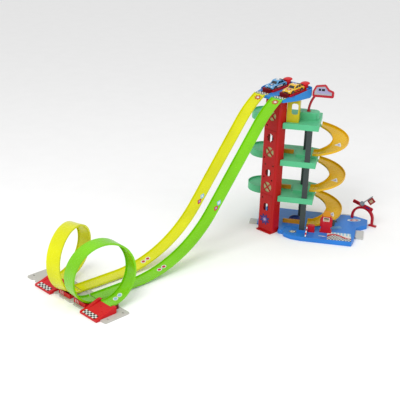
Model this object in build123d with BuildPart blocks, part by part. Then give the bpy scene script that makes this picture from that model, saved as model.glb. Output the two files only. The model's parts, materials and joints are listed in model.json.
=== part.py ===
"""Twin-lane gravity loop track with a parking-garage tower.

Origin: on the floor, at the middle of the tower shaft's front face.
-X runs down the lanes to the loops, +Y is the far (yellow) lane's side, +Z is up.
The garage decks and base are turned about Z by GARAGE_TURN against the lanes, and
their plan is drawn in that turned frame, with u along the decks' front edge and v
away from it.
"""
import math
import os

from build123d import *

os.makedirs("parts", exist_ok=True)

# ---- driving dimensions, mm ----
LEVEL_PITCH = 160            # height from one deck to the next
FIRST_DECK = 170             # top of the lowest deck
LEVELS = 3
GARAGE_TURN = -57            # degrees about Z

TRACK_WIDTH = 56
TRACK_FLOOR = 2.2
RAIL_HEIGHT = 7
RAIL_THICK = 2.2
LANE_SPACING = 92
LANE_YAW = 2.5               # degrees that the two lanes drift to +Y on their way down
TOWER_LANE_MIDDLE_Y = 11
LANE_TOP_X = -15.3
LANE_TOP_SLOPE = 33          # degrees
LANE_SLOPE = 52.2
LANE_CORNER_X = -499.5       # where the straight slope would meet the flat run
LOWER_BEND_RADIUS = 492
UPPER_BEND_RADIUS = 400
FLAT_Z = 6                   # underside of the flat run into the loop

LOOP_X = -921
LOOP_MIDDLE_Y = 50
LOOP_OUTER_RADIUS = 120
LOOP_SHIFT = 88              # sideways step of one full loop
EXIT_RISE = 18               # the loop lands this much higher than it starts
LOOP_SWAY = {-1: 0.1, 1: 0.42}   # how far each loop leans sideways, as a share of its step
LOOP_STEPS = 32

PLATE_THICK = 5
BASE_TOP = 18
WALL = 3
DECK_LIP = 24

SHAFT_WIDTH = 80
SHAFT_DEPTH = 45
SHAFT_SEAMS = (0, 170, 452, 584)
FOOT_TOE = 8                 # the foot plate reaches this far in front
FOOT_THICK = 5
POST_PLACE = (27, 0)
POST_SIZE = 14

SPIRAL_CENTRE = (190, 187)
SPIRAL_OUTER = 125
SPIRAL_INNER = 55
SPIRAL_NEAR_RISE = 9         # underside of the ramp's near end above its deck
SPIRAL_DROP = 72
SPIRAL_RIM = 9
SPIRAL_LANDING = 18

TRAY_FRONT_X = -14
TRAY_REAR_X = 166
TRAY_BOTTOM_Z = 584.3
TRAY_WIDTH = 188
TRAY_SLOPE = 4.5
BED_THICK = 2
CAR_LENGTH = 92
CAR_WIDTH = 44
CAR_X = 84
WHEEL_RADIUS = 8.6
WHEEL_WIDTH = 8
AXLE_RADIUS = 1.5
AXLE_SPACING = 54

GARAGE_U = Vector(math.cos(math.radians(GARAGE_TURN)), math.sin(math.radians(GARAGE_TURN)), 0)


def garage_plane(z=0):
    """Horizontal plane at height z with the garage's own u and v axes."""
    return Plane(origin=(0, 0, z), x_dir=GARAGE_U, z_dir=(0, 0, 1))


def deck_top(level):
    """Top of deck 1, 2 or 3; level 0 is the base's own running surface."""
    return FIRST_DECK + LEVEL_PITCH * (level - 1)


def save(piece, name):
    piece.part.label = name
    export_step(piece.part, f"parts/{name}.step")


# ---- garage base ----
def make_base():
    outline = [(-40, 62), (-6, 62), (62, 18), (56, -6), (78, -7), (88, -32), (117, -50),
               (160, -57), (372, -54), (381, 0), (384, 106), (430, 150), (430, 212), (374, 240),
               (-40, 240)]
    with BuildPart() as base:
        with BuildSketch(garage_plane()) as plan:
            with BuildLine():
                Polyline(*outline, close=True)
            make_face()
            fillet(plan.vertices(), 6)
        extrude(amount=BASE_TOP)
        fillet(base.faces().sort_by(Axis.Z)[-1].edges(), 2)
        with BuildSketch(garage_plane()) as hollow:
            with BuildLine():
                Polyline(*outline, close=True)
            make_face()
            offset(amount=-WALL - 3, kind=Kind.INTERSECTION)
        extrude(amount=BASE_TOP - 4, mode=Mode.SUBTRACT)
        # shallow round parking pad under the decks' front edge
        with BuildSketch(garage_plane(BASE_TOP - 1.2)):
            with Locations((125, 10)):
                Ellipse(46, 34)
        extrude(amount=4, mode=Mode.SUBTRACT)
        # footing block that carries the front column
        with BuildSketch(garage_plane(BASE_TOP - 2)):
            with Locations((157, 10)):
                RectangleRounded(40, 34, 5)
        extrude(amount=10)
        # clearance round the shaft's foot
        with BuildSketch():
            with Locations((SHAFT_DEPTH / 2 - 5, 0)):
                Rectangle(SHAFT_DEPTH + 12, SHAFT_WIDTH + 2)
        extrude(amount=60, mode=Mode.SUBTRACT)
    save(base, "garage_base")


# ---- tower shaft: three stacked red panels round a dark post ----
def channel_section():
    with BuildSketch() as section:
        with Locations((SHAFT_DEPTH / 2, 0)):
            Rectangle(SHAFT_DEPTH, SHAFT_WIDTH)
        fillet(section.vertices().group_by(Axis.X)[0], 9)
        with Locations((SHAFT_DEPTH / 2 + WALL, 0)):
            Rectangle(SHAFT_DEPTH, SHAFT_WIDTH - 2 * WALL, mode=Mode.SUBTRACT)
    return section.sketch


def cut_front(z, shape):
    """Cut a shape through the panel's front wall at height z."""
    with BuildSketch(Plane(origin=(-2, 0, z), x_dir=(0, 1, 0), z_dir=(1, 0, 0))) as cut:
        shape()
    extrude(cut.sketch, amount=10, mode=Mode.SUBTRACT)


def x_window():
    Circle(22)
    Rectangle(60, 4.5, rotation=45, mode=Mode.SUBTRACT)
    Rectangle(60, 4.5, rotation=-45, mode=Mode.SUBTRACT)


def splat_window():
    Circle(13)
    with PolarLocations(14, 8):
        Circle(4.2)


def round_window():
    Circle(15)


def square_window():
    RectangleRounded(26, 32, 7)


def make_shaft():
    windows = [
        [(113, square_window)],
        [(204, x_window), (267, round_window), (359, x_window), (420, splat_window)],
        [(514, x_window)],
    ]
    small_holes = [
        [(152, 21)],
        [(246, 21), (238, -22), (302, 18), (302, -24), (330, 26)],
        [(470, 22)],
    ]
    names = ["shaft_panel_lower", "shaft_panel_middle", "shaft_panel_upper"]
    for index, name in enumerate(names):
        low = SHAFT_SEAMS[index] + (0.3 if index else 0)
        high = SHAFT_SEAMS[index + 1]
        with BuildPart() as panel:
            with BuildSketch(Plane.XY.offset(low)):
                add(channel_section())
            extrude(amount=high - low)
            # raised rib round the panel at its top seam
            with BuildSketch(Plane.XY.offset(high - 6)):
                with Locations((-0.4, 0)):
                    Rectangle(2.4, SHAFT_WIDTH - 20)
            extrude(amount=6)
            if index == 0:
                # foot plate with a socket for the post
                with BuildSketch():
                    with Locations(((SHAFT_DEPTH - FOOT_TOE) / 2, 0)):
                        Rectangle(SHAFT_DEPTH + FOOT_TOE, SHAFT_WIDTH - 2)
                    with Locations(POST_PLACE):
                        Rectangle(POST_SIZE + 0.2, POST_SIZE + 0.2, mode=Mode.SUBTRACT)
                extrude(amount=FOOT_THICK)
            for z, shape in windows[index]:
                cut_front(z, shape)
            for z, y in small_holes[index]:
                with BuildSketch(Plane(origin=(-2, y, z), x_dir=(0, 1, 0), z_dir=(1, 0, 0))):
                    Circle(4)
                extrude(amount=10, mode=Mode.SUBTRACT)
        save(panel, name)


def make_shaft_post():
    with BuildPart() as post:
        with BuildSketch():
            with Locations(POST_PLACE):
                Rectangle(POST_SIZE, POST_SIZE)
                Rectangle(POST_SIZE - 6, POST_SIZE - 6, mode=Mode.SUBTRACT)
        extrude(amount=SHAFT_SEAMS[-1])
    save(post, "shaft_post")


# ---- decks ----
LOBE_CENTRE = (-28, 140)
LOBE_RADIUS = 72
RAMP_START = (-6, 178)
RAMP_WIDTH = 66


def deck_plan(inset):
    """Deck outline with its front edge, cut round the shaft, and its round left lobe."""
    with BuildSketch() as plan:
        with BuildLine():
            Polyline((48, -5), (194, -5), (194, 196), (150, 212), (-28, 212), (-28, 68),
                     (-6, 68), (62, 20), (48, -5), close=False)
        make_face()
        with Locations(LOBE_CENTRE):
            Circle(LOBE_RADIUS)
        if inset:
            offset(amount=-inset, kind=Kind.INTERSECTION)
    return plan.sketch


def make_deck(level):
    top = deck_top(level)
    with BuildPart() as deck:
        with BuildSketch(garage_plane(top - DECK_LIP)):
            add(deck_plan(0))
        extrude(amount=DECK_LIP)
        with BuildSketch(garage_plane(top - DECK_LIP)):
            add(deck_plan(WALL))
        extrude(amount=DECK_LIP - 4, mode=Mode.SUBTRACT)
        # raised running strip that meets the spiral ramp's near end
        if level < LEVELS:
            with BuildSketch(garage_plane(top - 1)):
                with Locations((147, 97)):
                    RectangleRounded(88, 72, 4)
            extrude(amount=SPIRAL_NEAR_RISE + 1)
        # rim round the lobe, on its open left side
        with BuildSketch(garage_plane(top - 1)):
            with Locations(LOBE_CENTRE):
                Circle(LOBE_RADIUS)
                Circle(LOBE_RADIUS - 2.5, mode=Mode.SUBTRACT)
            with Locations((LOBE_CENTRE[0] + 62, LOBE_CENTRE[1])):
                Rectangle(124, 200, mode=Mode.SUBTRACT)
        extrude(amount=8)
        # sloping rear ramp from the lobe down to the far end of the spiral below
        end = (SPIRAL_CENTRE[0], SPIRAL_CENTRE[1] + (SPIRAL_OUTER + SPIRAL_INNER) / 2)
        start_point = garage_plane(top).from_local_coords(Vector(*RAMP_START))
        end_point = garage_plane(top).from_local_coords(Vector(*end))
        along = (end_point - start_point).normalized()
        run = (end_point - start_point).length
        across = Vector(0, 0, 1).cross(along)
        fall = LEVEL_PITCH - SPIRAL_NEAR_RISE - SPIRAL_DROP - TRACK_FLOOR
        for side, width, height in ((-RAMP_WIDTH / 2, RAMP_WIDTH, 0),
                                    (-RAMP_WIDTH / 2, WALL, SPIRAL_RIM),
                                    (RAMP_WIDTH / 2 - WALL, WALL, SPIRAL_RIM)):
            corner = start_point + across * (side + width)
            with BuildSketch(Plane(origin=corner, x_dir=along, z_dir=along.cross(Vector(0, 0, 1)))):
                with BuildLine():
                    Polyline((0, height), (70, height - 0.45 * fall), (run, height - fall),
                             (run, -fall - 4), (70, -0.45 * fall - 4), (0, -4), close=True)
                make_face()
            extrude(amount=width)
        # square end where the rear ramp meets the spiral
        with BuildSketch(garage_plane(top - LEVEL_PITCH)):
            with Locations((end[0] + 29.7, end[1])):
                Rectangle(60, 130)
        extrude(amount=LEVEL_PITCH, mode=Mode.SUBTRACT)
    save(deck, f"garage_deck_{level}")


def make_columns(level):
    """The front and rear post that carry one deck."""
    under = deck_top(level) - 4
    front_foot = BASE_TOP + 8 if level == 1 else deck_top(level - 1)
    rear_foot = BASE_TOP if level == 1 else deck_top(level - 1)
    with BuildPart() as columns:
        for (u, v), size, foot in (((158, 9), 22, front_foot), ((136, 172), 20, rear_foot)):
            with BuildSketch(garage_plane(foot)) as square:
                with Locations((u, v)):
                    Rectangle(size, size)
                    Rectangle(size - 6, size - 6, mode=Mode.SUBTRACT)
            extrude(amount=under - foot)
    save(columns, f"deck_columns_{level}")


# ---- spiral ramps: half turns between two levels ----
def make_spiral(index):
    """Half-turn trough that lands on level index and starts under deck index + 1."""
    near_z = deck_top(index) + SPIRAL_NEAR_RISE
    middle = (SPIRAL_INNER + SPIRAL_OUTER) / 2
    width = SPIRAL_OUTER - SPIRAL_INNER
    foot = garage_plane(near_z).from_local_coords(Vector(*SPIRAL_CENTRE))
    # the helix starts at the near end, straight towards -v from the centre
    near_dir = Vector(math.sin(math.radians(GARAGE_TURN)), -math.cos(math.radians(GARAGE_TURN)), 0)
    frame = Plane(origin=foot, x_dir=near_dir, z_dir=(0, 0, 1))
    helix = Helix(2 * SPIRAL_DROP, SPIRAL_DROP, middle, mode=Mode.PRIVATE)
    with BuildPart() as ramp:
        with BuildLine() as path:
            add(helix.moved(frame.location))
        # upright section, so that both end faces stand square to the decks' edge
        with BuildSketch(Plane(origin=path.line @ 0, x_dir=-near_dir, z_dir=GARAGE_U)):
            with Locations((0, TRACK_FLOOR / 2)):
                Rectangle(width, TRACK_FLOOR)
            with Locations((width / 2 - 1.5, SPIRAL_RIM / 2), (-width / 2 + 1.5, SPIRAL_RIM / 2)):
                Rectangle(3, SPIRAL_RIM)
        sweep(is_frenet=True)
        # straight landing on the deck below
        landing = (SPIRAL_CENTRE[0] - SPIRAL_LANDING / 2 + 0.5, SPIRAL_CENTRE[1] - middle)
        for offset, breadth, height in ((0, width, TRACK_FLOOR),
                                        (width / 2 - 1.5, 3, SPIRAL_RIM),
                                        (-width / 2 + 1.5, 3, SPIRAL_RIM)):
            with BuildSketch(garage_plane(near_z)):
                with Locations((landing[0], landing[1] + offset)):
                    Rectangle(SPIRAL_LANDING, breadth)
            extrude(amount=height)
    save(ramp, f"spiral_ramp_{index + 1}")


def make_ramp_cover():
    top = deck_top(LEVELS)
    with BuildPart() as cover:
        with BuildSketch(garage_plane(top)) as plan:
            with Locations((144, 101)):
                Rectangle(84, 60)
            fillet(plan.vertices().sort_by(Axis.X)[-2:], 25)
        extrude(amount=31)
        fillet(cover.faces().sort_by(Axis.Z)[-1].edges(), 3)
        with BuildSketch(garage_plane(top)) as inside:
            with Locations((142, 101)):
                Rectangle(70, 50)
        extrude(amount=27, mode=Mode.SUBTRACT)
    save(cover, "top_deck_housing")


def make_tray_support():
    """Yellow wall with a window, folded back at both ends, between top deck and tray."""
    top = deck_top(LEVELS)
    height = TRAY_BOTTOM_Z - 0.2 - top
    with BuildPart() as wall:
        with BuildSketch(garage_plane(top)):
            with Locations((84, 42)):
                Rectangle(50, 56)
            with Locations((84, 46)):
                Rectangle(44, 58, mode=Mode.SUBTRACT)
        extrude(amount=height)
        front = garage_plane(top).from_local_coords(Vector(88, 10))
        inward = garage_plane(0).y_dir
        with BuildSketch(Plane(origin=front, x_dir=-GARAGE_U, z_dir=inward)) as window:
            with Locations((-3, height * 0.60)):
                RectangleRounded(26, 46, 9)
        extrude(amount=8, mode=Mode.SUBTRACT)
    save(wall, "tray_support_wall")


def make_guards():
    with BuildPart() as guards:
        for z, centre, length in ((BASE_TOP, (106, 82), 76), (deck_top(1), (66, 98), 52),
                                  (deck_top(2), (66, 98), 52)):
            with BuildSketch(garage_plane(z)):
                with Locations(centre):
                    RectangleRounded(length, 10, 4)
            extrude(amount=17)
    save(guards, "orange_guards")


# ---- lanes ----
def lane_y(side):
    """Middle of a lane at the tower: side is -1 for the near lane and 1 for the far one."""
    return TOWER_LANE_MIDDLE_Y + side * LANE_SPACING / 2


def lane_points(rise):
    """Corner points of the lane's side view, this far above its underside."""
    slope = math.radians(LANE_SLOPE)
    top = math.radians(LANE_TOP_SLOPE)
    tangent = LOWER_BEND_RADIUS * math.tan(slope / 2)
    flat_end = (LANE_CORNER_X - tangent, FLAT_Z)
    centre_low = (flat_end[0], FLAT_Z + LOWER_BEND_RADIUS)
    radius_low = LOWER_BEND_RADIUS - rise

    def low(angle):
        return (centre_low[0] + radius_low * math.sin(angle),
                centre_low[1] - radius_low * math.cos(angle))

    # the upper bend ends at LANE_TOP_X
    bend_start_x = LANE_TOP_X - UPPER_BEND_RADIUS * (math.sin(slope) - math.sin(top))
    bend_start_z = FLAT_Z + (bend_start_x - LANE_CORNER_X) * math.tan(slope)
    centre_high = (bend_start_x + UPPER_BEND_RADIUS * math.sin(slope),
                   bend_start_z - UPPER_BEND_RADIUS * math.cos(slope))
    radius_high = UPPER_BEND_RADIUS + rise

    def high(angle):
        return (centre_high[0] - radius_high * math.sin(angle),
                centre_high[1] + radius_high * math.cos(angle))

    join_x = (bend_start_x + LANE_CORNER_X) / 2
    join = (join_x - rise * math.sin(slope),
            FLAT_Z + (join_x - LANE_CORNER_X) * math.tan(slope) + rise * math.cos(slope))
    return {
        "start": (LOOP_X + 3.4, FLAT_Z + rise),
        "flat_end": low(0), "low_mid": low(slope / 2), "low_end": low(slope),
        "join": join,
        "high_start": high(slope), "high_mid": high((slope + top) / 2), "end": high(top),
    }


LANE_TOP_Z = lane_points(0)["end"][1]


def lane_plane(side, across):
    """Upright plane along a lane, shifted across it towards the far side."""
    yaw = math.radians(LANE_YAW)
    along = Vector(math.cos(yaw), -math.sin(yaw), 0)
    far = Vector(math.sin(yaw), math.cos(yaw), 0)
    origin = Vector(LANE_TOP_X, lane_y(side), 0) - along * LANE_TOP_X + far * across
    return Plane(origin=origin, x_dir=along, z_dir=-far)


def lane_band(side, across, width, low_rise, high_rise, upper):
    """Extrude the stretch of lane between two heights above its underside."""
    low = lane_points(low_rise)
    high = lane_points(high_rise)
    with BuildSketch(lane_plane(side, across)) as band:
        with BuildLine():
            if upper:
                Line(low["join"], low["high_start"])
                ThreePointArc(low["high_start"], low["high_mid"], low["end"])
                Line(low["end"], high["end"])
                ThreePointArc(high["end"], high["high_mid"], high["high_start"])
                Line(high["high_start"], high["join"])
                Line(high["join"], low["join"])
            else:
                Line(low["start"], low["flat_end"])
                ThreePointArc(low["flat_end"], low["low_mid"], low["low_end"])
                Line(low["low_end"], low["join"])
                Line(low["join"], high["join"])
                Line(high["join"], high["low_end"])
                ThreePointArc(high["low_end"], high["low_mid"], high["flat_end"])
                Line(high["flat_end"], high["start"])
                Line(high["start"], low["start"])
        make_face()
    extrude(band.sketch, amount=width)


def make_lane(side, colour, upper):
    with BuildPart() as lane:
        half = TRACK_WIDTH / 2
        lane_band(side, half, TRACK_WIDTH, 0, TRACK_FLOOR, upper)
        lane_band(side, half, RAIL_THICK, TRACK_FLOOR, RAIL_HEIGHT, upper)
        lane_band(side, -half + RAIL_THICK, RAIL_THICK, TRACK_FLOOR, RAIL_HEIGHT, upper)
    save(lane, f"{colour}_track_{'upper' if upper else 'lower'}")


# ---- loops ----
def loop_in_y(side):
    return LOOP_MIDDLE_Y + side * LANE_SPACING / 2


def loop_out_y(side):
    return loop_in_y(side) + side * LOOP_SHIFT


def loop_point(side, share):
    """Underside of a loop after this share of its turn, as it leans and climbs sideways."""
    turn = 2 * math.pi * share
    settle = EXIT_RISE / 2 * share
    radius = LOOP_OUTER_RADIUS - settle
    sideways = LOOP_SHIFT * (share - LOOP_SWAY[side] * math.sin(turn))
    return (LOOP_X - radius * math.sin(turn), loop_in_y(side) + side * sideways,
            FLAT_Z + LOOP_OUTER_RADIUS + settle - radius * math.cos(turn))


def channel(x, y, z):
    """Sketch of the track's cross-section, upright across X with its middle here."""
    plane = Plane(origin=(x, y, z), x_dir=(0, -1, 0), z_dir=(-1, 0, 0))
    with BuildSketch(plane) as section:
        with Locations((0, TRACK_FLOOR / 2)):
            Rectangle(TRACK_WIDTH, TRACK_FLOOR)
        edge = TRACK_WIDTH / 2 - RAIL_THICK / 2
        with Locations((edge, RAIL_HEIGHT / 2), (-edge, RAIL_HEIGHT / 2)):
            Rectangle(RAIL_THICK, RAIL_HEIGHT)
    return section.sketch


def make_loop(side, colour):
    points = [loop_point(side, step / LOOP_STEPS) for step in range(LOOP_STEPS + 1)]
    with BuildPart() as loop:
        with BuildLine() as path:
            Spline(*points)
        sweep(channel(*points[0]), path=path.line, is_frenet=True)
        extrude(channel(LOOP_X + 4, loop_out_y(side), FLAT_Z + EXIT_RISE), amount=19.4)
    save(loop, f"{colour}_loop")


# ---- loop base: plates, finish ramps, cradles and clips ----
PLATE_FRONT_X = -998
PLATE_BACK_X = -888
PLATE_SPLIT_Y = 76
PLATE_ENDS_Y = (-157, 309)
RAMP_HEEL_X = -927
RAMP_TOE_X = -1016
FINISH_RAMP_WIDTH = 92


def make_plate(name, low_y, high_y):
    with BuildPart() as plate:
        with BuildSketch() as plan:
            with Locations(((PLATE_FRONT_X + PLATE_BACK_X) / 2, (low_y + high_y) / 2)):
                Rectangle(PLATE_BACK_X - PLATE_FRONT_X, high_y - low_y)
            fillet(plan.vertices(), 8)
            # wavy front edge
            with Locations((PLATE_FRONT_X - 3, low_y + 42), (PLATE_FRONT_X - 3, high_y - 42)):
                Circle(11, mode=Mode.SUBTRACT)
            for x in (PLATE_FRONT_X + 22, PLATE_BACK_X - 20):
                for y in (low_y + 15, high_y - 15):
                    with Locations((x, y)):
                        SlotOverall(11, 5, rotation=90, mode=Mode.SUBTRACT)
        extrude(amount=PLATE_THICK)
        chamfer(plate.faces().sort_by(Axis.Z)[-1].outer_wire().edges(), 1.2)
    save(plate, name)


def make_finish_ramp(side, name):
    middle = loop_out_y(side)
    exit_z = FLAT_Z + EXIT_RISE
    seat_x = LOOP_X - 15.8
    with BuildPart() as ramp:
        with BuildSketch(Plane(origin=(0, middle + FINISH_RAMP_WIDTH / 2, 0), x_dir=(1, 0, 0),
                               z_dir=(0, -1, 0))):
            with BuildLine():
                Polyline((RAMP_TOE_X, 0.5), (RAMP_TOE_X, 9), (RAMP_TOE_X + 22, 13),
                         (seat_x, exit_z + TRACK_FLOOR), (seat_x, exit_z - 0.2),
                         (RAMP_HEEL_X, exit_z - 0.2), (RAMP_HEEL_X, PLATE_THICK + 0.2),
                         (PLATE_FRONT_X - 0.6, PLATE_THICK + 0.2), (PLATE_FRONT_X - 0.6, 0.5),
                         close=True)
            make_face()
        extrude(amount=FINISH_RAMP_WIDTH)
        # side shoulders that guide the car down the middle
        for y in (middle - FINISH_RAMP_WIDTH / 2 + 13, middle + FINISH_RAMP_WIDTH / 2):
            with BuildSketch(Plane(origin=(0, y, 0), x_dir=(1, 0, 0), z_dir=(0, -1, 0))):
                with BuildLine():
                    Polyline((RAMP_TOE_X + 20, 12), (seat_x, exit_z + 1),
                             (RAMP_HEEL_X, exit_z - 1), (RAMP_HEEL_X, exit_z + 7),
                             (seat_x, exit_z + 7), close=True)
                make_face()
            extrude(amount=13)
    save(ramp, name)


def make_cradle(side, name):
    middle = loop_in_y(side) + side * (6 - 30 * LOOP_SWAY[side])
    centre_z = FLAT_Z + LOOP_OUTER_RADIUS
    reach = 66
    near = 14
    radius = LOOP_OUTER_RADIUS + 3

    def under(x):
        return (LOOP_X - x, centre_z - math.sqrt(radius * radius - x * x))

    with BuildPart() as cradle:
        with BuildSketch(Plane(origin=(0, middle + 32, 0), x_dir=(1, 0, 0), z_dir=(0, -1, 0))):
            foot = PLATE_THICK + 0.2
            with BuildLine():
                Line((LOOP_X - reach, foot), (LOOP_X - 40, foot))
                Line((LOOP_X - 40, foot), under(40))
                ThreePointArc(under(40), under((40 + reach) / 2), under(reach))
                Line(under(reach), (LOOP_X - reach, foot))
            make_face()
        extrude(amount=64)
    save(cradle, name)


def make_ramp_clips():
    with BuildPart() as clips:
        for side in (-1, 1):
            with BuildSketch(Plane.XY.offset(PLATE_THICK + 0.2)):
                with Locations((LOOP_X + 14, loop_out_y(side) + side * 6)):
                    RectangleRounded(16, 40, 3)
            extrude(amount=16)
    save(clips, "loop_exit_clips")


def make_track_clips():
    """Joining plates under the lanes' mid joints."""
    slope = math.radians(LANE_SLOPE)
    join = lane_points(0)["join"]
    with BuildPart() as clips:
        for side in (-1, 1):
            with BuildSketch(lane_plane(side, 18)):
                with BuildLine():
                    Polyline(*[(join[0] + along * math.cos(slope) - down * -math.sin(slope),
                                join[1] + along * math.sin(slope) - down * math.cos(slope))
                               for along, down in ((-22, 0.1), (22, 0.1), (22, 3.1), (-22, 3.1))],
                             close=True)
                make_face()
            extrude(amount=36)
    save(clips, "track_joint_clips")


# ---- launch tray on top of the shaft ----
TRAY_SLOPE_RAD = math.radians(TRAY_SLOPE)


def tray_z(x, rise=0.0):
    """Height this far above the tray's sloping floor at x."""
    return LANE_TOP_Z + TRACK_FLOOR + (x - TRAY_FRONT_X) * math.tan(TRAY_SLOPE_RAD) + rise


def tray_plane(y):
    """Upright plane along X at this y, with x and z as its own axes."""
    return Plane(origin=(0, y, 0), x_dir=(1, 0, 0), z_dir=(0, -1, 0))


def slope_plane(x, y, rise=0.0):
    """Plane lying on the tray's sloping floor, x up the slope and y towards +Y."""
    return Plane(origin=(x, y, tray_z(x, rise)),
                 x_dir=(math.cos(TRAY_SLOPE_RAD), 0, math.sin(TRAY_SLOPE_RAD)),
                 z_dir=(-math.sin(TRAY_SLOPE_RAD), 0, math.cos(TRAY_SLOPE_RAD)))


def slope_side_plane(x, y, rise=0.0):
    """Upright plane at this y whose x axis runs up the tray's slope."""
    return Plane(origin=(x, y, tray_z(x, rise)),
                 x_dir=(math.cos(TRAY_SLOPE_RAD), 0, math.sin(TRAY_SLOPE_RAD)),
                 z_dir=(0, -1, 0))


LEVER_PIVOT_X = 146
LEVER_PIVOT_RISE = 5
GATE_PIVOT_X = 27
GATE_PIVOT_RISE = -4
PIN_RADIUS = 1.5
LEVER_PIN = 56
GATE_PIN = 54


def make_tray():
    far = TOWER_LANE_MIDDLE_Y + TRAY_WIDTH / 2
    with BuildPart() as tray:
        with BuildSketch(tray_plane(far)):
            with BuildLine():
                Polyline((TRAY_FRONT_X, tray_z(TRAY_FRONT_X, 2)), (10, tray_z(10, 5)),
                         (TRAY_REAR_X, tray_z(TRAY_REAR_X, 13)),
                         (TRAY_REAR_X, TRAY_BOTTOM_Z + 16), (TRAY_REAR_X - 30, TRAY_BOTTOM_Z),
                         (TRAY_FRONT_X, TRAY_BOTTOM_Z), close=True)
            make_face()
        extrude(amount=TRAY_WIDTH)
        fillet(tray.edges().filter_by(Axis.Z).group_by(Axis.X)[-1], 30)
        # open top, down to the sloping floor
        with BuildSketch(slope_plane(0, TOWER_LANE_MIDDLE_Y)):
            with Locations((63, 0)):
                Rectangle(196, TRAY_WIDTH - 9)
        extrude(amount=40, mode=Mode.SUBTRACT)
        # raked front corners, like a boat's bow
        with BuildSketch(Plane.XY.offset(TRAY_BOTTOM_Z - 1)):
            for side in (-1, 1):
                with BuildLine():
                    Polyline((TRAY_FRONT_X - 1, TOWER_LANE_MIDDLE_Y + side * 75),
                             (TRAY_FRONT_X - 1, TOWER_LANE_MIDDLE_Y + side * 96),
                             (66, TOWER_LANE_MIDDLE_Y + side * 96), close=True)
                make_face()
        extrude(amount=60, mode=Mode.SUBTRACT)
        # hollow underside
        with BuildSketch(tray_plane(far - 4)):
            with BuildLine():
                Polyline((56, TRAY_BOTTOM_Z - 1), (56, tray_z(56, -4)),
                         (TRAY_REAR_X - 34, tray_z(TRAY_REAR_X - 34, -4)),
                         (TRAY_REAR_X - 34, TRAY_BOTTOM_Z - 1), close=True)
            make_face()
        extrude(amount=TRAY_WIDTH - 8, mode=Mode.SUBTRACT)
        for side in (-1, 1):
            # well for the start gate and its pin
            with BuildSketch(slope_plane(GATE_PIVOT_X, lane_y(side), -9)):
                with Locations((-6, 0)):
                    Rectangle(25, 47)
            extrude(amount=12, mode=Mode.SUBTRACT)
            with BuildSketch(slope_side_plane(GATE_PIVOT_X, lane_y(side) + GATE_PIN / 2)):
                with Locations((0, GATE_PIVOT_RISE)):
                    Circle(PIN_RADIUS)
            extrude(amount=GATE_PIN, mode=Mode.SUBTRACT)
            # pair of ears that carry the launch lever's pin
            for offset in (-25, 25):
                with BuildSketch(slope_side_plane(LEVER_PIVOT_X, lane_y(side) + offset + 2.5)):
                    with Locations((0, 4)):
                        RectangleRounded(12, 12, 3)
                    with Locations((0, LEVER_PIVOT_RISE)):
                        Circle(PIN_RADIUS, mode=Mode.SUBTRACT)
                extrude(amount=5)
    save(tray, "launch_tray")


def make_bed(side, name):
    """Red channel that a car waits in."""
    with BuildPart() as bed:
        with BuildSketch(slope_plane(CAR_X, lane_y(side))):
            Rectangle(104, 58)
        extrude(amount=BED_THICK)
        for offset in (-27, 27):
            with BuildSketch(slope_plane(CAR_X, lane_y(side) + offset, 1)):
                Rectangle(104, 4)
            extrude(amount=8)
    save(bed, name)


def make_lever(side, name):
    """Paddle behind a car; pressing its rear edge down lets the car go."""
    with BuildPart() as lever:
        with BuildSketch(slope_side_plane(LEVER_PIVOT_X, lane_y(side) + 21)) as profile:
            with BuildLine():
                Polyline((-5, LEVER_PIVOT_RISE - 3.5), (6, LEVER_PIVOT_RISE - 3.5), (10, 14), (30, 20),
                         (31, 27), (10, 28), (-5, 18), close=True)
            make_face()
            fillet(profile.vertices(), 2.5)
            with Locations((0, LEVER_PIVOT_RISE)):
                Circle(PIN_RADIUS + 0.06, mode=Mode.SUBTRACT)
        extrude(amount=42)
    save(lever, name)


def make_gate(side, name):
    """Flap that stands in front of a waiting car's nose."""
    with BuildPart() as gate:
        with BuildSketch(slope_side_plane(GATE_PIVOT_X, lane_y(side) + 22)) as profile:
            with Locations((0, GATE_PIVOT_RISE)):
                Circle(3.2)
            with Locations((0, GATE_PIVOT_RISE + 8.5)):
                Rectangle(3.4, 17)
            with Locations((0, GATE_PIVOT_RISE)):
                Circle(PIN_RADIUS + 0.06, mode=Mode.SUBTRACT)
        extrude(amount=44)
    save(gate, name)


def make_pins():
    with BuildPart() as pins:
        for side in (-1, 1):
            for x, rise, length in ((LEVER_PIVOT_X, LEVER_PIVOT_RISE, LEVER_PIN),
                                    (GATE_PIVOT_X, GATE_PIVOT_RISE, GATE_PIN)):
                with BuildSketch(slope_side_plane(x, lane_y(side) + length / 2)):
                    with Locations((0, rise)):
                        Circle(PIN_RADIUS)
                extrude(amount=length)
    save(pins, "hinge_pins")


# ---- cars ----
CAR_BODY_WIDTH = CAR_WIDTH - 2
CAR_RISE = BED_THICK + 0.1


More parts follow.
